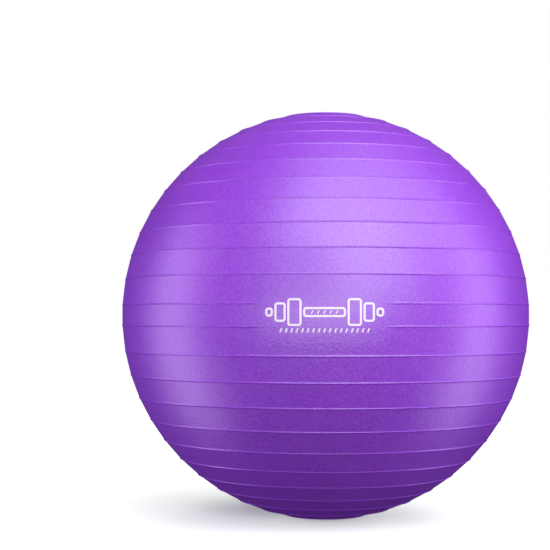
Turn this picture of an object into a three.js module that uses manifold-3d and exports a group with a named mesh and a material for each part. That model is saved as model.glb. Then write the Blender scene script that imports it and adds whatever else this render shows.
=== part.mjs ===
// An inflated exercise ball with raised grip ribs, its filling valve and the plug that closes the valve.
// Millimetres, +Z up. The origin is the middle of the patch that the ball stands on. The print panel
// faces -Y, and the valve is at the back, on +Y. The ribs are parallels of latitude about Z.
import * as THREE from "three";
import { mergeVertices } from "three/addons/utils/BufferGeometryUtils.js";
import Module from "manifold-3d";

// Ball
const BALL_RADIUS = 325; // to the skin between the ribs
const WALL = 0.8; // skin, stretched by the air inside
const FLOOR_PATCH_RADIUS = 30; // where the standing ball is pressed flat by its own weight
const RIB_HEIGHT = 0.9;
const RIB_WIDTH = 3;
const FIRST_RIB_DEG = 2.85; // latitude of the rib on each side of the equator
const SECOND_RIB_DEG = 10.15;
const RIB_PITCH_DEG = 6.82; // from the second rib on
const RIBS_PER_HALF = 12;
const AROUND = 48; // facets around Z, with a corner at the front and at the back
const PRINT_PANEL_DEG = 17; // the two middle ribs stop this far to each side of the front
const VALVE_PANEL_DEG = 10; // and this far to each side of the back

// Valve: radii about its own axis, and depths inwards from its outer face
const VALVE_FACE_Y = BALL_RADIUS - 0.1;
const BOSS_RADIUS = 18; // thick part of the skin that holds the valve seat
const BOSS_DEPTH = 3.5;
const GAP = 0.3; // clearance between two pieces
const NECK_RADIUS = 9; // the part of the seat that fills the hole in the boss
const FLANGE_RADIUS = 14.5;
const FLANGE_THICKNESS = 2;
const SLEEVE_RADIUS = 7;
const SEAT_LENGTH = 25;
const BORE_RADIUS = 4.25;
const RECESS_RADIUS = 7.6; // takes the head of the plug
const RECESS_DEPTH = 1.9;
const CHAMFER = 0.6;
const VALVE_AROUND = 32;

// Plug
const HEAD_RADIUS = RECESS_RADIUS - GAP;
const HEAD_PROUD = 0.5; // the crown of the head stands this far out of the valve
const HEAD_RIM = 0.9;
const STEM_RADIUS = 3.3;
const BARB_RADIUS = BORE_RADIUS - GAP;
const BARB_LENGTH = 2.6;
const BARB_DEPTHS = [5, 9, 13];
const STEM_LENGTH = 19;
const TIP_RADIUS = 1.6;

// The ball's middle lies where its sphere meets the flat patch.
const CENTRE_Z = Math.sqrt(BALL_RADIUS ** 2 - FLOOR_PATCH_RADIUS ** 2);
const deg = THREE.MathUtils.degToRad;
const wasm = await Module();
wasm.setup();

// The closed geometry as a manifold-3d solid: shared corners merged, collapsed triangles left out.
function solidOf(geometry) {
  const bare = geometry.clone().deleteAttribute("normal").deleteAttribute("uv");
  const merged = mergeVertices(bare, 1e-3);
  const corners = merged.index.array;
  const kept = [];
  for (let i = 0; i < corners.length; i += 3) {
    const [a, b, c] = corners.slice(i, i + 3);
    if (a !== b && b !== c && c !== a) kept.push(a, b, c);
  }
  const vertProperties = merged.attributes.position.array;
  const mesh = new wasm.Mesh({ numProp: 3, vertProperties, triVerts: new Uint32Array(kept) });
  return new wasm.Manifold(mesh);
}

function geometryOf(solid) {
  const mesh = solid.getMesh();
  const geometry = new THREE.BufferGeometry();
  geometry.setAttribute("position", new THREE.BufferAttribute(mesh.vertProperties, 3));
  geometry.setIndex(new THREE.BufferAttribute(mesh.triVerts, 1));
  const flat = geometry.toNonIndexed();
  flat.computeVertexNormals();
  return flat;
}

// A profile of [radius, height] points turned about Z, with its first facet corner on -Y.
function turned(profile, segments) {
  const points = profile.map(([radius, height]) => new THREE.Vector2(radius, height));
  return new THREE.LatheGeometry(points, segments).rotateX(Math.PI / 2);
}

// A point of the ball's profile at a latitude in degrees, as [radius, height].
function onSphere(radius, latitude) {
  const angle = deg(latitude);
  return [radius * Math.cos(angle), CENTRE_Z + radius * Math.sin(angle)];
}

// Latitudes of all the ribs, from the lowest to the highest.
function ribLatitudes() {
  const upper = [FIRST_RIB_DEG];
  for (let k = 0; k < RIBS_PER_HALF - 1; k += 1) {
    upper.push(SECOND_RIB_DEG + RIB_PITCH_DEG * k);
  }
  return [...upper.map((latitude) => -latitude).reverse(), ...upper];
}

// Foot, crest and foot of every rib, with the skin straight between them, and the flat patch below.
function outerProfile() {
  const footAngle = THREE.MathUtils.radToDeg(RIB_WIDTH / 2 / BALL_RADIUS);
  const ribs = ribLatitudes().flatMap((latitude) => [
    onSphere(BALL_RADIUS, latitude - footAngle),
    onSphere(BALL_RADIUS + RIB_HEIGHT, latitude),
    onSphere(BALL_RADIUS, latitude + footAngle),
  ]);
  return [[0, 0], [FLOOR_PATCH_RADIUS, 0], ...ribs, onSphere(BALL_RADIUS, 90)];
}

// The inside of the skin has its corners under the ribs, so that it runs parallel to the outside.
function innerProfile() {
  const inside = BALL_RADIUS - WALL;
  const corners = ribLatitudes().map((latitude) => onSphere(inside, latitude));
  return [[0, WALL], [FLOOR_PATCH_RADIUS, WALL], ...corners, onSphere(inside, 90)];
}

// Sinks the crests of the two middle ribs into the skin at the print panel and around the valve.
function clearPanels(geometry) {
  const position = geometry.attributes.position;
  const middle = new THREE.Vector3(0, 0, CENTRE_Z);
  const point = new THREE.Vector3();
  for (let i = 0; i < position.count; i += 1) {
    point.fromBufferAttribute(position, i).sub(middle);
    const onCrest = point.length() > BALL_RADIUS + RIB_HEIGHT / 2;
    const middleRib = Math.abs(point.z) < BALL_RADIUS * Math.sin(deg(FIRST_RIB_DEG + 1));
    const fromFront = THREE.MathUtils.radToDeg(Math.atan2(Math.abs(point.x), -point.y));
    const onPanel = fromFront < PRINT_PANEL_DEG || fromFront > 180 - VALVE_PANEL_DEG;
    if (onCrest && middleRib && onPanel) {
      point.setLength(BALL_RADIUS).add(middle);
      position.setXYZ(i, point.x, point.y, point.z);
    }
  }
  return geometry;
}

// A solid turned about the valve's axis, from a profile of [radius, depth] points.
function alongValve(profile) {
  const upright = profile.map(([radius, depth]) => [radius, -depth]);
  return turned(upright, VALVE_AROUND).rotateX(-Math.PI / 2).translate(0, VALVE_FACE_Y, CENTRE_Z);
}

// A plain disc or hole about the valve's axis, between two depths.
function discAt(radius, fromDepth, toDepth) {
  return alongValve([[0, toDepth], [radius, toDepth], [radius, fromDepth], [0, fromDepth]]);
}

function ballShell() {
  const outside = solidOf(clearPanels(turned(outerProfile(), AROUND)));
  const inside = solidOf(turned(innerProfile(), AROUND));
  const boss = solidOf(discAt(BOSS_RADIUS, 0, BOSS_DEPTH));
  const hole = solidOf(discAt(NECK_RADIUS + GAP, -RIB_HEIGHT, BOSS_DEPTH + RIB_HEIGHT));
  return geometryOf(outside.subtract(inside).add(boss).subtract(hole));
}

// A flanged sleeve: its neck fills the hole in the boss and its flange lies behind the boss.
function valveSeat() {
  const flangeFront = BOSS_DEPTH + GAP;
  const flangeBack = flangeFront + FLANGE_THICKNESS;
  return alongValve([
    [BORE_RADIUS, RECESS_DEPTH],
    [BORE_RADIUS, SEAT_LENGTH - CHAMFER],
    [BORE_RADIUS + CHAMFER, SEAT_LENGTH],
    [SLEEVE_RADIUS - CHAMFER, SEAT_LENGTH],
    [SLEEVE_RADIUS, SEAT_LENGTH - CHAMFER],
    [SLEEVE_RADIUS, flangeBack + CHAMFER],
    [SLEEVE_RADIUS + CHAMFER, flangeBack],
    [FLANGE_RADIUS - CHAMFER, flangeBack],
    [FLANGE_RADIUS, flangeBack - CHAMFER],
    [FLANGE_RADIUS, flangeFront],
    [NECK_RADIUS, flangeFront],
    [NECK_RADIUS, CHAMFER],
    [NECK_RADIUS - CHAMFER, 0],
    [RECESS_RADIUS, 0],
    [RECESS_RADIUS, RECESS_DEPTH],
    [BORE_RADIUS, RECESS_DEPTH],
  ]);
}

// A domed head that lies in the seat's recess, and a stem with sawtooth barbs that grip the bore.
function valvePlug() {
  const headBack = RECESS_DEPTH - GAP;
  const barbs = BARB_DEPTHS.flatMap((depth) => [
    [STEM_RADIUS, depth],
    [BARB_RADIUS, depth],
    [STEM_RADIUS, depth + BARB_LENGTH],
  ]);
  return alongValve([
    [0, STEM_LENGTH],
    [TIP_RADIUS, STEM_LENGTH],
    [STEM_RADIUS, STEM_LENGTH - TIP_RADIUS],
    ...barbs.reverse(),
    [STEM_RADIUS, headBack],
    [HEAD_RADIUS, headBack],
    [HEAD_RADIUS, headBack - HEAD_RIM],
    [HEAD_RADIUS * 0.7, -HEAD_PROUD * 0.8],
    [0, -HEAD_PROUD],
  ]);
}

const purplePvc = new THREE.MeshStandardMaterial({ color: 0x8a3fd6, roughness: 0.42, metalness: 0 });
const valvePvc = new THREE.MeshStandardMaterial({ color: 0x7a35c4, roughness: 0.5, metalness: 0 });
const whitePlastic = new THREE.MeshStandardMaterial({ color: 0xf2f2ee, roughness: 0.4, metalness: 0 });

function named(name, geometry, material) {
  const mesh = new THREE.Mesh(geometry, material);
  mesh.name = name;
  return mesh;
}

const exerciseBall = new THREE.Group();
exerciseBall.add(
  named("ball_shell", ballShell(), purplePvc),
  named("valve_seat", valveSeat(), valvePvc),
  named("valve_plug", valvePlug(), whitePlastic),
);

export default exerciseBall;
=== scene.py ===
import math
from bisect import bisect

import bmesh
import bpy
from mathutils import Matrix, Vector


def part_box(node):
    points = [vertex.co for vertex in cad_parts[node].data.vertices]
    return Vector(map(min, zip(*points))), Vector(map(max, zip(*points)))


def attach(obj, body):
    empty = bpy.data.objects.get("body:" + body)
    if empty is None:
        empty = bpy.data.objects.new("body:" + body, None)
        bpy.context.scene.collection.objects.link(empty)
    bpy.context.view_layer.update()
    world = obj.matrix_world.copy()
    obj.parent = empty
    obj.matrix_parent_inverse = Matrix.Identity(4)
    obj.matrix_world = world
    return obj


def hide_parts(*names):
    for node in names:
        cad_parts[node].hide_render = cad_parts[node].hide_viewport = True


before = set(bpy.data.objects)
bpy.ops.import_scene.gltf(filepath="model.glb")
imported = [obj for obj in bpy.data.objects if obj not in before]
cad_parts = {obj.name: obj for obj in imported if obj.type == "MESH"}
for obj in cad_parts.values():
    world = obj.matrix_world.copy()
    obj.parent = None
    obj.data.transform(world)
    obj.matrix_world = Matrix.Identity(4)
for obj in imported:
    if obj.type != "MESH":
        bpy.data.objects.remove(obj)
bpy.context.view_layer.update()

MM = 0.001

# Ball. Latitudes and longitudes are in degrees, and longitude 0 is the front.
BALL_RADIUS = 0.325
CENTRE = Vector((0, 0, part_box("ball_shell")[1].z - BALL_RADIUS))
WALL = 1.2 * MM
RIB_HEIGHT = 0.85 * MM
RIB_WIDTH = 2.6 * MM
FIRST_RIB = 2.85
SECOND_RIB = 10.15
RIB_PITCH = 6.82
RIBS_PER_HALF = 12
BAND_BULGE = 0.25  # how far the skin between two ribs has left their chord for the sphere
FLOOR_PATCH_RADIUS = 30 * MM
PRINT_PANEL = 16.9  # the two middle ribs run out this far to each side of the front
VALVE_PANEL = 11.0  # and this far to each side of the back
RUN_OUT = 1.1  # half the stretch over which a rib runs out

# Steps of the skin's mesh
AROUND = 288
RIB_ROWS = 7
BAND_STEPS = (0.04, 0.5, 0.96)
PANEL_STEPS = (0.04, 0.27, 0.5, 0.73, 0.96)
CAP_ROWS = 4
CUT_COLUMNS = 7  # on each side of the valve, where its own rings take the place of the grid
CUT_RINGS = 5
INSIDE_RINGS = 24

# Valve: radii about its axis, and depths inwards from its face
VALVE_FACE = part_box("valve_seat")[1].y
SEAT_LENGTH = VALVE_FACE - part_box("valve_seat")[0].y
STEM_LENGTH = VALVE_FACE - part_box("valve_plug")[0].y
HEAD_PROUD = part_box("valve_plug")[1].y - VALVE_FACE
HEAD_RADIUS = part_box("valve_plug")[1].x
BOSS_RADIUS = 18 * MM
BOSS_DEPTH = 3.5 * MM
HOLE_RADIUS = 9.3 * MM
VALVE_AROUND = 96
FILLET_STEPS = 4

# Print: the ink is sunk a little into the skin and stands a little out of it
INK_BELOW = 0.06 * MM
INK_ABOVE = 0.10 * MM

# Camera and stage
CAMERA_DISTANCE = 2.18
LENS = 88.2
AIM_LEFT = 0.0802
AIM_UP = 0.0647
LIGHT_DISTANCE = 2.4
LILAC = (0.86, 0.66, 1.0)
FLECK = (0.8, 0.5, 1.0)
FLOOR_SIDE = 60
FLOOR_WHITE = 0.9
SHADE_RADIUS = 0.3
# Painted shadow: the floor's glow is dimmed round the ball's foot and round a point behind it to the left.
PAINTED_SHADOW_MIDDLE = (-0.10, 0.12, 0.0)
CONTACT_SHADOW_SHARPNESS = 2.5  # how much faster the glow comes back round the ball's foot, where it paints a contact shadow
CONTACT_SHADOW_BLEND = 0.06
GLOW_REACH = 3.0
GLOW_AND_PAINTED_SHADOW_STOPS = (  # share of the reach, and the colour of the glow there: dim and a little green near the ball, where it paints the shadow, and white far off
    (0.008, (0.10, 0.13, 0.06)),
    (0.033, (0.28, 0.33, 0.23)),
    (0.05, (0.43, 0.48, 0.38)),
    (0.07, (0.49, 0.54, 0.44)),
    (0.13, (0.65, 0.69, 0.61)),
    (1.0, (1.0, 1.0, 1.0)),
)


def smooth_step(x):
    x = min(max(x, 0.0), 1.0)
    return x * x * (3 - 2 * x)


def rib_latitudes():
    upper = [FIRST_RIB] + [SECOND_RIB + RIB_PITCH * k for k in range(RIBS_PER_HALF - 1)]
    return [-latitude for latitude in reversed(upper)] + upper


RIBS = rib_latitudes()
RIB_FOOT = math.degrees(RIB_WIDTH / 2 / BALL_RADIUS)


def direction(latitude, longitude):
    a, b = math.radians(latitude), math.radians(longitude)
    return Vector((math.sin(b) * math.cos(a), -math.cos(b) * math.cos(a), math.sin(a)))


def rib_bump(latitude, rib):
    """How far a rib stands out of the skin at a latitude: a rounded bead."""
    share = abs(latitude - rib) / RIB_FOOT
    return RIB_HEIGHT * math.cos(share * math.pi / 2) ** 2 if share < 1 else 0.0


def panel_share(longitude):
    """1 in the smooth panels at the front and the back, 0 where the two middle ribs run."""
    from_front = abs(longitude)
    front = smooth_step((PRINT_PANEL + RUN_OUT - from_front) / (2 * RUN_OUT))
    back = smooth_step((VALVE_PANEL + RUN_OUT - (180 - from_front)) / (2 * RUN_OUT))
    return max(front, back)


def band_radius(latitude):
    """The skin without its ribs: almost a straight band from each rib to the next, and round caps."""
    above = bisect(RIBS, latitude)
    if above in (0, len(RIBS)):
        return BALL_RADIUS
    low, high = RIBS[above - 1], RIBS[above]
    chord = math.cos(math.radians(high - low) / 2) / math.cos(math.radians(latitude - (low + high) / 2))
    return BALL_RADIUS * (1 - (1 - BAND_BULGE) * (1 - chord))


def skin_point(latitude, longitude):
    radius = band_radius(latitude)
    radius += sum(rib_bump(latitude, rib) for rib in RIBS if abs(rib) == FIRST_RIB)
    if abs(latitude) < SECOND_RIB:
        radius += (BALL_RADIUS - radius) * panel_share(longitude)
    radius += max(rib_bump(latitude, rib) for rib in RIBS if abs(rib) != FIRST_RIB)
    point = CENTRE + direction(latitude, longitude) * radius
    if point.z < 0:  # pressed flat on the floor
        point = CENTRE + direction(latitude, longitude) * (CENTRE.z / -math.sin(math.radians(latitude)))
    return point


def row_latitudes():
    """Latitudes of the grid's rows: across each rib, over each band, and over the two caps."""
    between = RIB_ROWS - 1
    rows = []
    for low, high in zip(RIBS, RIBS[1:]):
        rows += [low + RIB_FOOT * (2 * k / between - 1) for k in range(RIB_ROWS)]
        steps = PANEL_STEPS if max(abs(low), abs(high)) <= SECOND_RIB else BAND_STEPS
        start, end = low + RIB_FOOT, high - RIB_FOOT
        rows += [start + (end - start) * share for share in steps]
    rows += [RIBS[-1] + RIB_FOOT * (2 * k / between - 1) for k in range(RIB_ROWS)]
    top = rows[-1]
    upper_cap = [top + (90 - top) * (k + 1) / (CAP_ROWS + 1) for k in range(CAP_ROWS)]
    patch_edge = -math.degrees(math.acos(FLOOR_PATCH_RADIUS / BALL_RADIUS))
    lower_cap = [-90 + (patch_edge + 90) * (k + 1) / CAP_ROWS for k in range(CAP_ROWS)]
    return lower_cap + rows + upper_cap


def ring_point(radius, depth, angle):
    """A point about the valve's axis, at a depth inwards from its face."""
    return Vector((radius * math.cos(angle), VALVE_FACE - depth, CENTRE.z + radius * math.sin(angle)))


def sphere_depth(radius, ball=BALL_RADIUS):
    return VALVE_FACE - math.sqrt(ball ** 2 - radius ** 2)


def boss_profile():
    """[radius, depth] from the skin around the boss, over its face, down its hole and behind it."""
    inside = BALL_RADIUS - WALL
    groove = 14 * MM
    return [
        [BOSS_RADIUS + 2.4 * MM, sphere_depth(BOSS_RADIUS + 2.4 * MM)],
        [BOSS_RADIUS + 0.5 * MM, sphere_depth(BOSS_RADIUS + 0.5 * MM)],
        [BOSS_RADIUS, sphere_depth(BOSS_RADIUS) - 0.05 * MM],
        [BOSS_RADIUS - 0.12 * MM, 0.12 * MM],
        [BOSS_RADIUS - 0.4 * MM, 0.02 * MM],
        [BOSS_RADIUS - 0.9 * MM, 0],
        [groove + 0.6 * MM, 0],
        [groove + 0.2 * MM, 0.18 * MM],
        [groove - 0.2 * MM, 0.18 * MM],
        [groove - 0.6 * MM, 0],
        [HOLE_RADIUS + 0.7 * MM, 0],
        [HOLE_RADIUS + 0.25 * MM, 0.1 * MM],
        [HOLE_RADIUS, 0.4 * MM],
        [HOLE_RADIUS, BOSS_DEPTH],
        [BOSS_RADIUS - 0.6 * MM, BOSS_DEPTH],
        [BOSS_RADIUS, BOSS_DEPTH - 0.6 * MM],
        [BOSS_RADIUS + 0.8 * MM, sphere_depth(BOSS_RADIUS + 0.8 * MM, inside)],
    ]


def mesh_object(name, vertices, faces, material, sharp_degrees=180.0):
    """A closed mesh as an object, smooth but for the edges that bend more than sharp_degrees."""
    mesh = bpy.data.meshes.new(name)
    mesh.from_pydata(vertices, [], faces)
    work = bmesh.new()
    work.from_mesh(mesh)
    bmesh.ops.recalc_face_normals(work, faces=work.faces)
    for face in work.faces:
        face.smooth = True
    for edge in work.edges:
        edge.smooth = edge.calc_face_angle(0.0) < math.radians(sharp_degrees)
    work.to_mesh(mesh)
    work.free()
    mesh.materials.append(material)
    piece = bpy.data.objects.new(name, mesh)
    bpy.context.scene.collection.objects.link(piece)
    return piece


def bridge(faces, outer, inner):
    """Quads between two closed rings of vertex numbers of the same length."""
    count = len(outer)
    for k in range(count):
        n = (k + 1) % count
        faces.append((outer[k], outer[n], inner[n], inner[k]))


def build_skin(material):
    vertices, faces = [], []

    def add(point):
        vertices.append(point)
        return len(vertices) - 1

    latitudes = row_latitudes()
    panel_edge = max(a for a in latitudes if a < SECOND_RIB - RIB_FOOT - 1e-6)
    low_row = min(range(len(latitudes)), key=lambda i: abs(latitudes[i] + panel_edge))
    high_row = min(range(len(latitudes)), key=lambda i: abs(latitudes[i] - panel_edge))

    # The grid. Column 0 is the back, where the valve is.
    def inside_cut(row, column):
        from_valve = min(column % AROUND, -column % AROUND)
        return low_row < row < high_row and from_valve < CUT_COLUMNS

    grid = []
    for row, latitude in enumerate(latitudes):
        longitudes = [-180 + 360 * column / AROUND for column in range(AROUND)]
        grid.append([
            None if inside_cut(row, column) else add(skin_point(latitude, longitude))
            for column, longitude in enumerate(longitudes)
        ])
    for row in range(len(grid) - 1):
        for column in range(AROUND):
            after = (column + 1) % AROUND
            middle = (column + 0.5 + CUT_COLUMNS) % AROUND
            if low_row <= row < high_row and middle < 2 * CUT_COLUMNS:
                continue
            faces.append((grid[row][column], grid[row][after], grid[row + 1][after], grid[row + 1][column]))
    bottom, top = add(Vector((0, 0, 0))), add(CENTRE + Vector((0, 0, BALL_RADIUS)))
    for column in range(AROUND):
        after = (column + 1) % AROUND
        faces.append((grid[0][after], grid[0][column], bottom))
        faces.append((grid[-1][column], grid[-1][after], top))

    # Round the cut, from its lower corner on +X, and then rings that turn from its outline to a circle.
    columns = list(range(-CUT_COLUMNS, CUT_COLUMNS))
    rows = list(range(low_row, high_row))
    edge = [grid[low_row][c % AROUND] for c in columns]
    edge += [grid[r][CUT_COLUMNS] for r in rows]
    edge += [grid[high_row][-c % AROUND] for c in columns]
    edge += [grid[low_row + high_row - r][-CUT_COLUMNS % AROUND] for r in rows]
    quarter = math.pi / 2
    angles = []
    for side, count in enumerate((len(columns), len(rows)) * 2):
        angles += [-quarter * (side + 0.5) - quarter * k / count for k in range(count)]
    profile = boss_profile()
    first_radius, first_depth = profile[0]
    ring = edge
    for step in range(1, CUT_RINGS):
        share = step / CUT_RINGS
        inner = []
        for corner, angle in zip(edge, angles):
            circle = ring_point(first_radius, first_depth, angle)
            towards = (vertices[corner] * (1 - share) + circle * share - CENTRE).normalized()
            inner.append(add(CENTRE + towards * BALL_RADIUS))
        bridge(faces, ring, inner)
        ring = inner
    for radius, depth in profile:
        inner = [add(ring_point(radius, depth, angle)) for angle in angles]
        bridge(faces, ring, inner)
        ring = inner

    # The inside of the skin, as rings about the valve's axis to the pole behind the print.
    inside = BALL_RADIUS - WALL
    start = math.asin(profile[-1][0] / inside)
    for step in range(1, INSIDE_RINGS):
        turn = start + (math.pi - start) * step / INSIDE_RINGS
        inner = []
        for angle in angles:
            radius = inside * math.sin(turn)
            height = max(CENTRE.z + radius * math.sin(angle), WALL)
            inner.append(add(Vector((radius * math.cos(angle), inside * math.cos(turn), height))))
        bridge(faces, ring, inner)
        ring = inner
    pole = add(CENTRE - Vector((0, inside, 0)))
    for k, corner in enumerate(ring):
        faces.append((corner, ring[(k + 1) % len(ring)], pole))
    return mesh_object("ball_skin", vertices, faces, material, sharp_degrees=60)


def turned(name, profile, material, closed, sharp_degrees=40, wave=None):
    """A solid turned about the valve's axis from [radius, depth] points. closed joins the last to the
    first, and wave gives a further depth at a radius, depth and angle."""
    vertices, faces, rings = [], [], []
    for radius, depth in profile:
        if radius == 0:
            vertices.append(ring_point(0, depth, 0))
            rings.append([len(vertices) - 1])
            continue
        ring = []
        for k in range(VALVE_AROUND):
            angle = 2 * math.pi * k / VALVE_AROUND
            further = wave(radius, depth, angle) if wave else 0.0
            vertices.append(ring_point(radius, depth + further, angle))
            ring.append(len(vertices) - 1)
        rings.append(ring)
    pairs = list(zip(rings, rings[1:])) + ([(rings[-1], rings[0])] if closed else [])
    for first, second in pairs:
        if len(first) == 1 or len(second) == 1:
            tip, ring = (first[0], second) if len(first) == 1 else (second[0], first)
            faces += [(tip, ring[k], ring[(k + 1) % VALVE_AROUND]) for k in range(VALVE_AROUND)]
        else:
            bridge(faces, first, second)
    return mesh_object(name, vertices, faces, material, sharp_degrees)


def rounded(corners, radius):
    """A closed outline of [radius, depth] points with an arc-like fillet in place of each corner."""
    points = []
    for k, corner in enumerate(corners):
        here = Vector(corner)
        back = Vector(corners[k - 1]) - here
        forth = Vector(corners[(k + 1) % len(corners)]) - here
        reach = min(radius, back.length * 0.45, forth.length * 0.45)
        start = here + back.normalized() * reach
        end = here + forth.normalized() * reach
        for step in range(FILLET_STEPS + 1):
            t = step / FILLET_STEPS
            points.append(list(start * (1 - t) ** 2 + here * 2 * t * (1 - t) + end * t ** 2))
    return points


def build_insert(material):
    """The flanged sleeve in the boss: neck in the hole, flange behind it, and the bore for the stopper."""
    neck = HOLE_RADIUS - 0.3 * MM
    flange = 14.5 * MM
    flange_front = BOSS_DEPTH + 0.3 * MM
    flange_back = flange_front + 2 * MM
    sleeve = 7.0 * MM
    bore = 4.25 * MM
    recess = 7.6 * MM
    recess_depth = 1.9 * MM
    outline = [
        [bore, recess_depth],
        [bore, SEAT_LENGTH],
        [sleeve, SEAT_LENGTH],
        [sleeve, flange_back],
        [flange, flange_back],
        [flange, flange_front],
        [neck, flange_front],
        [neck, 0],
        [recess, 0],
        [recess, recess_depth],
    ]
    return turned("valve_insert", rounded(outline, 0.35 * MM), material, closed=True)


def build_stopper(material):
    """The stopper: a domed head with a dimple and a lifting notch, and a stem with three rounded barbs."""
    stem = 3.3 * MM
    tip = 2.4 * MM
    tip_length = 1.6 * MM
    barb = 3.95 * MM
    barb_length = 2.6 * MM
    head_back = 1.6 * MM
    barbs = []
    for depth in (13 * MM, 9 * MM, 5 * MM):
        barbs += [[stem, depth + barb_length], [barb, depth + 0.25 * MM], [barb, depth], [stem, depth]]
    body = [
        [0, STEM_LENGTH],
        [tip, STEM_LENGTH],
        [stem, STEM_LENGTH - tip_length],
        *barbs,
        [stem, head_back],
        [HEAD_RADIUS, head_back],
        [HEAD_RADIUS, 0.35 * MM],
        [HEAD_RADIUS - 0.7 * MM, -0.2 * MM],
        [0, -HEAD_PROUD],
    ]
    on_axis = FILLET_STEPS + 1  # points of the fillet at each end, where the outline meets the axis
    sides = rounded(body, 0.25 * MM)[on_axis:-on_axis]
    dome = [[HEAD_RADIUS * share, -HEAD_PROUD * (1 - 0.35 * share ** 2)] for share in (0.8, 0.6, 0.42)]
    dimple = [[1.9 * MM, -0.42 * MM], [1.5 * MM, -0.18 * MM], [0.9 * MM, -0.08 * MM], [0, -0.05 * MM]]

    def notch(radius, depth, angle):
        if radius < HEAD_RADIUS * 0.75 or depth > 0.4 * MM:
            return 0.0
        from_top = abs((angle - math.pi / 2 + math.pi) % (2 * math.pi) - math.pi)
        return 0.35 * MM * smooth_step(1 - from_top / 0.42)

    profile = [[0, STEM_LENGTH]] + sides + dome + dimple
    return turned("valve_stopper", profile, material, closed=False, wave=notch)


def on_front(across, up, lift):
    """A point over the print panel, from distances across and up the skin from the panel's middle."""
    latitude = math.degrees(up / BALL_RADIUS)
    longitude = math.degrees(across / BALL_RADIUS) / math.cos(math.radians(latitude))
    return CENTRE + direction(latitude, longitude) * (BALL_RADIUS + lift)


def stroke(vertices, faces, path, width, closed):
    """A thin ribbon of ink, solid all round, along a path of (across, up) points on the print panel."""
    count = len(path)
    first = len(vertices)
    for k, here in enumerate(path):
        before = path[k - 1] if closed or k else here
        after = path[(k + 1) % count] if closed or k < count - 1 else here
        along = (after - before).normalized()
        side = Vector((-along.y, along.x)) * width / 2
        for offset, lift in ((side, -INK_BELOW), (-side, -INK_BELOW), (-side, INK_ABOVE), (side, INK_ABOVE)):
            vertices.append(on_front(here.x + offset.x, here.y + offset.y, lift))
    for k in range(count if closed else count - 1):
        a, b = first + 4 * k, first + 4 * ((k + 1) % count)
        faces.extend((a + s, a + (s + 1) % 4, b + (s + 1) % 4, b + s) for s in range(4))
    if not closed:
        last = first + 4 * (count - 1)
        faces.append(tuple(first + s for s in range(4)))
        faces.append(tuple(last + s for s in reversed(range(4))))


def divided(start, end, step=2.5 * MM):
    """Points from start up to, and not including, end."""
    count = max(1, round((end - start).length / step))
    return [start.lerp(end, k / count) for k in range(count)]


def rounded_box(x, y, width, height, radius=3 * MM, arc_steps=6):
    """A closed path round a box with rounded corners, centred on x, y."""
    arcs = []
    for right, top, start in ((1, 1, 0), (-1, 1, 90), (-1, -1, 180), (1, -1, 270)):
        middle = Vector((x + right * (width / 2 - radius), y + top * (height / 2 - radius)))
        turns = [math.radians(start + 90 * k / arc_steps) for k in range(arc_steps + 1)]
        arcs.append([middle + Vector((math.cos(t), math.sin(t))) * radius for t in turns])
    path = []
    for arc, following in zip(arcs, arcs[1:] + arcs[:1]):
        path += arc[:-1] + divided(arc[-1], following[0])
    return path


def slanted_dashes(vertices, faces, count, pitch, low, high, lean, width):
    """A row of dashes across the panel's middle, from low to high, that lean to the right."""
    for k in range(count):
        x = (k - (count - 1) / 2) * pitch
        foot = Vector((x - lean, low))
        head = Vector((x + lean, high))
        stroke(vertices, faces, divided(foot, head) + [head], width, closed=False)


def build_print(material):
    """A plain dumbbell in outline over a row of slanted dashes."""
    vertices, faces = [], []
    line = 3.0 * MM
    middle = 4.0 * MM
    boxes = [rounded_box(0, middle, 56 * MM, 11 * MM)]
    for side in (-1, 1):
        for across, width, height in ((41.7, 17, 35.5), (61.9, 13, 24), (77.6, 8, 9.5)):
            boxes.append(rounded_box(side * across * MM, middle, width * MM, height * MM))
    for box in boxes:
        stroke(vertices, faces, box, line, closed=True)
    slanted_dashes(vertices, faces, 17, 7.6 * MM, -24 * MM, -18.4 * MM, 1.1 * MM, 2.1 * MM)
    grip_low, grip_high = middle - 2.2 * MM, middle + 2.2 * MM
    slanted_dashes(vertices, faces, 5, 8.5 * MM, grip_low, grip_high, 1.2 * MM, 1.5 * MM)
    return mesh_object("front_print", vertices, faces, material, sharp_degrees=30)


def noise(nodes, links, coordinates, scale, detail, roughness=0.5):
    texture = nodes.new("ShaderNodeTexNoise")
    texture.inputs["Scale"].default_value = scale
    texture.inputs["Detail"].default_value = detail
    texture.inputs["Roughness"].default_value = roughness
    links.new(coordinates, texture.inputs["Vector"])
    return texture.outputs["Fac"]


def ranged(nodes, links, value, low, high, start=0.3, end=0.7):
    mapped = nodes.new("ShaderNodeMapRange")
    mapped.inputs["From Min"].default_value = start
    mapped.inputs["From Max"].default_value = end
    mapped.inputs["To Min"].default_value = low
    mapped.inputs["To Max"].default_value = high
    links.new(value, mapped.inputs["Value"])
    return mapped.outputs["Result"]


def two_tone(nodes, links, factor, first, second):
    """A mix of two colours, each of them a tuple or another node's output."""
    mix = nodes.new("ShaderNodeMix")
    mix.data_type = "RGBA"
    links.new(factor, mix.inputs["Factor"])
    for socket, colour in ((6, first), (7, second)):  # the node's colour inputs, A and B
        if isinstance(colour, tuple):
            mix.inputs[socket].default_value = (*colour, 1)
        else:
            links.new(colour, mix.inputs[socket])
    return mix.outputs[2]


def bump(nodes, links, height, strength, distance, normal=None):
    node = nodes.new("ShaderNodeBump")
    node.inputs["Strength"].default_value = strength
    node.inputs["Distance"].default_value = distance
    links.new(height, node.inputs["Height"])
    if normal:
        links.new(normal, node.inputs["Normal"])
    return node.outputs["Normal"]


def start_material(name):
    material = bpy.data.materials.new(name)
    material.use_nodes = True
    tree = material.node_tree
    shader = tree.nodes["Principled BSDF"]
    coordinates = tree.nodes.new("ShaderNodeTexCoord").outputs["Object"]
    return material, tree.nodes, tree.links, shader, coordinates


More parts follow.
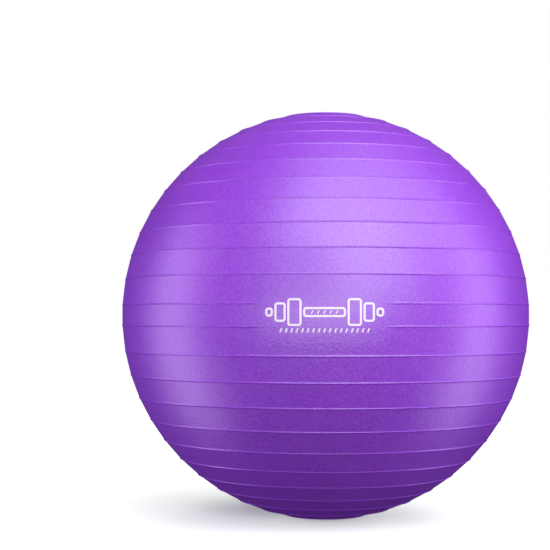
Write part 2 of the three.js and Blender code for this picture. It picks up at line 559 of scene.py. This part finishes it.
def pvc(name, deep, light, roughness, grain=1.0):
    """Satin vinyl: cloudy colour, a mottled grain in its colour and gloss, and an orange-peel surface."""
    material, nodes, links, shader, coordinates = start_material(name)
    clouds = noise(nodes, links, coordinates, 7, 3)
    speckle = noise(nodes, links, coordinates, 300, 3, 0.6)
    peel = noise(nodes, links, coordinates, 900, 1)
    cloudy = two_tone(nodes, links, ranged(nodes, links, clouds, 0, 1), deep, light)
    flecked = two_tone(nodes, links, ranged(nodes, links, speckle, 0, 0.2 * grain), cloudy, FLECK)
    links.new(flecked, shader.inputs["Base Color"])
    gloss = ranged(nodes, links, speckle, roughness - 0.035, roughness + 0.035)
    links.new(gloss, shader.inputs["Roughness"])
    coarse = bump(nodes, links, speckle, 0.9 * grain, 0.6 * MM)
    links.new(bump(nodes, links, peel, 0.25 * grain, 0.1 * MM, coarse), shader.inputs["Normal"])
    shader.inputs["IOR"].default_value = 1.7
    shader.inputs["Specular IOR Level"].default_value = 0.9
    return material


def plain_plastic(name, base, shade, roughness, painted_glow=0.0):
    """A moulded plastic: faint flow marks in its colour and a fine texture in its gloss. It may give off a
    little light of its own colour: a painted glow."""
    material, nodes, links, shader, coordinates = start_material(name)
    flow = noise(nodes, links, coordinates, 160, 3)
    fine = noise(nodes, links, coordinates, 2200, 2)
    marked = two_tone(nodes, links, ranged(nodes, links, flow, 0, 1), base, shade)
    links.new(marked, shader.inputs["Base Color"])
    links.new(ranged(nodes, links, fine, roughness - 0.06, roughness + 0.06), shader.inputs["Roughness"])
    links.new(bump(nodes, links, fine, 0.2, 0.05 * MM), shader.inputs["Normal"])
    # painted glow: emission in the plastic's own colour, though it is no lamp
    shader.inputs["Emission Color"].default_value = (*base, 1)
    shader.inputs["Emission Strength"].default_value = painted_glow
    return material


def distance_from(nodes, links, coordinates, point, factor):
    """The distance from a point, times a factor."""
    away = nodes.new("ShaderNodeVectorMath")
    away.operation = "DISTANCE"
    links.new(coordinates, away.inputs[0])
    away.inputs[1].default_value = point
    scaled = nodes.new("ShaderNodeMath")
    scaled.operation = "MULTIPLY"
    links.new(away.outputs["Value"], scaled.inputs[0])
    scaled.inputs[1].default_value = factor
    return scaled.outputs["Value"]


def floor_material():
    """White that glows more with distance, so that the floor meets the backdrop unseen. The glow is weak
    round the ball's foot and behind it to the left, and so paints the ball's shadow on the floor."""
    material, nodes, links, shader, coordinates = start_material("floor_white")
    tone = ranged(nodes, links, noise(nodes, links, coordinates, 3, 2), 0, 1)
    white = two_tone(nodes, links, tone, (FLOOR_WHITE,) * 3, (FLOOR_WHITE + 0.02,) * 3)
    links.new(white, shader.inputs["Base Color"])
    shader.inputs["Roughness"].default_value = 0.8
    shader.inputs["Specular IOR Level"].default_value = 0.0
    # Painted shadow: the nearer of the distances from the foot and from the shadow's middle dims the glow.
    foot = distance_from(nodes, links, coordinates, (0, 0, 0), CONTACT_SHADOW_SHARPNESS)
    shadow = distance_from(nodes, links, coordinates, PAINTED_SHADOW_MIDDLE, 1)
    nearer = nodes.new("ShaderNodeMath")
    nearer.operation = "SMOOTH_MIN"
    links.new(foot, nearer.inputs[0])
    links.new(shadow, nearer.inputs[1])
    nearer.inputs[2].default_value = CONTACT_SHADOW_BLEND
    glow = nodes.new("ShaderNodeValToRGB")
    stops = glow.color_ramp.elements
    for share, colour in GLOW_AND_PAINTED_SHADOW_STOPS:
        stops.new(share).color = (*colour, 1)
    stops.remove(stops[0])
    stops.remove(stops[-1])
    reach = ranged(nodes, links, nearer.outputs["Value"], 0, 1, start=0, end=GLOW_REACH)
    links.new(reach, glow.inputs["Fac"])
    links.new(glow.outputs["Color"], shader.inputs["Emission Color"])
    shader.inputs["Emission Strength"].default_value = 1
    return material


def staged_face(name, corners, material):
    """One flat face that belongs to the stage."""
    mesh = bpy.data.meshes.new(name)
    mesh.from_pydata(corners, [], [range(len(corners))])
    mesh.materials.append(material)
    face = bpy.data.objects.new(name, mesh)
    bpy.context.scene.collection.objects.link(face)
    face.visible_diffuse = False
    face.visible_shadow = False
    return face


def build_floor():
    half = FLOOR_SIDE / 2
    corners = [(-half, -half, 0), (half, -half, 0), (half, half, 0), (-half, half, 0)]
    floor = staged_face("floor", corners, floor_material())
    floor.visible_glossy = False


def build_floor_shade():
    """A dark disc of painted shade under the ball that only the glossy skin sees. It hides the lights that
    reach lower.
    """
    turns = [2 * math.pi * k / 64 for k in range(64)]
    corners = [(SHADE_RADIUS * math.cos(t), SHADE_RADIUS * math.sin(t), -MM) for t in turns]
    # painted shade: the floor in the ball's shadow, as the skin reflects it
    painted_shade = plain_plastic("floor_shaded", (0.05, 0.04, 0.06), (0.04, 0.03, 0.05), 0.9)
    shade = staged_face("floor_shade", corners, painted_shade)
    shade.visible_camera = False


def soft_box(name, azimuth, elevation, half_width, half_height, radiance, colour=(1, 1, 1), glossy=True):
    """A panel light facing the ball's middle. Its place and size are in degrees as seen from there. The
    front is at azimuth 0 and the right at 90."""
    light = bpy.data.lights.new(name, "AREA")
    light.shape = "RECTANGLE"
    light.size = 2 * LIGHT_DISTANCE * math.tan(math.radians(half_width))
    light.size_y = 2 * LIGHT_DISTANCE * math.tan(math.radians(half_height))
    light.energy = math.pi * light.size * light.size_y * radiance
    light.color = colour
    lamp = bpy.data.objects.new(name, light)
    bpy.context.scene.collection.objects.link(lamp)
    lamp.location = CENTRE + direction(elevation, azimuth) * LIGHT_DISTANCE
    lamp.rotation_euler = (CENTRE - lamp.location).to_track_quat("-Z", "Y").to_euler()
    lamp.visible_camera = False
    lamp.visible_glossy = glossy


def build_world(ambient):
    """Soft light from all round, which the camera sees as a white backdrop."""
    world = bpy.data.worlds.new("studio")
    bpy.context.scene.world = world
    world.use_nodes = True
    nodes, links = world.node_tree.nodes, world.node_tree.links
    around = nodes["Background"]
    around.inputs["Color"].default_value = (1, 1, 1, 1)
    around.inputs["Strength"].default_value = ambient
    backdrop = nodes.new("ShaderNodeBackground")
    backdrop.inputs["Color"].default_value = (1, 1, 1, 1)
    seen = nodes.new("ShaderNodeLightPath").outputs["Is Camera Ray"]
    mix = nodes.new("ShaderNodeMixShader")
    links.new(seen, mix.inputs["Fac"])
    links.new(around.outputs["Background"], mix.inputs[1])
    links.new(backdrop.outputs["Background"], mix.inputs[2])
    links.new(mix.outputs["Shader"], nodes["World Output"].inputs["Surface"])


def build_camera():
    camera = bpy.data.objects.new("camera", bpy.data.cameras.new("camera"))
    bpy.context.scene.collection.objects.link(camera)
    camera.data.lens = LENS
    camera.location = CENTRE - Vector((0, CAMERA_DISTANCE, 0))
    aim = CENTRE + Vector((-AIM_LEFT, 0, AIM_UP))
    camera.rotation_euler = (aim - camera.location).to_track_quat("-Z", "Y").to_euler()
    bpy.context.scene.camera = camera


build_camera()
build_floor()
build_floor_shade()
build_world(0.02)
soft_box("front", 26, 25, 20, 19, radiance=2.0)
soft_box("key", 12, 49, 19, 17, radiance=1.65)
soft_box("side_key", 68, 44, 19, 18, radiance=1.25)
soft_box("top", 35, 77, 24, 13, radiance=1.15)
soft_box("left_strip", -87, -6, 14, 38, radiance=2.45, colour=LILAC)
soft_box("right_strip", 88, -7, 13, 36, radiance=2.45, colour=LILAC)
soft_box("left_key", -20, 40, 11, 19, radiance=1.2)
soft_box("low_front", -4, 0, 28, 5, radiance=4.2)
soft_box("back_fill", 180, 32, 24, 20, radiance=2.5, glossy=False)
bpy.context.scene.view_settings.view_transform = "Standard"

skin_vinyl = pvc("skin_vinyl", (0.33, 0.03, 0.87), (0.37, 0.04, 0.92), 0.345)
insert_vinyl = pvc("insert_vinyl", (0.20, 0.035, 0.52), (0.24, 0.04, 0.58), 0.45, grain=0.6)
white_plastic = plain_plastic("white_plastic", (0.84, 0.84, 0.82), (0.78, 0.78, 0.77), 0.35)
# The ink gets a painted glow, so that it looks brighter than its white colour alone.
white_ink = plain_plastic("white_ink", (0.98, 0.90, 0.99), (0.95, 0.87, 0.97), 0.45, painted_glow=0.15)

PIECES = (
    (build_skin(skin_vinyl), "ball", "ball_pvc", ["ball_shell"]),
    (build_insert(insert_vinyl), "ball", "seat_pvc", ["valve_seat"]),
    (build_stopper(white_plastic), "plug", "plug_plastic", ["valve_plug"]),
    (build_print(white_ink), "ball", "print_ink", []),
)
for piece, body, slot, replaced in PIECES:
    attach(piece, body)
    if replaced:
        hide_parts(*replaced)
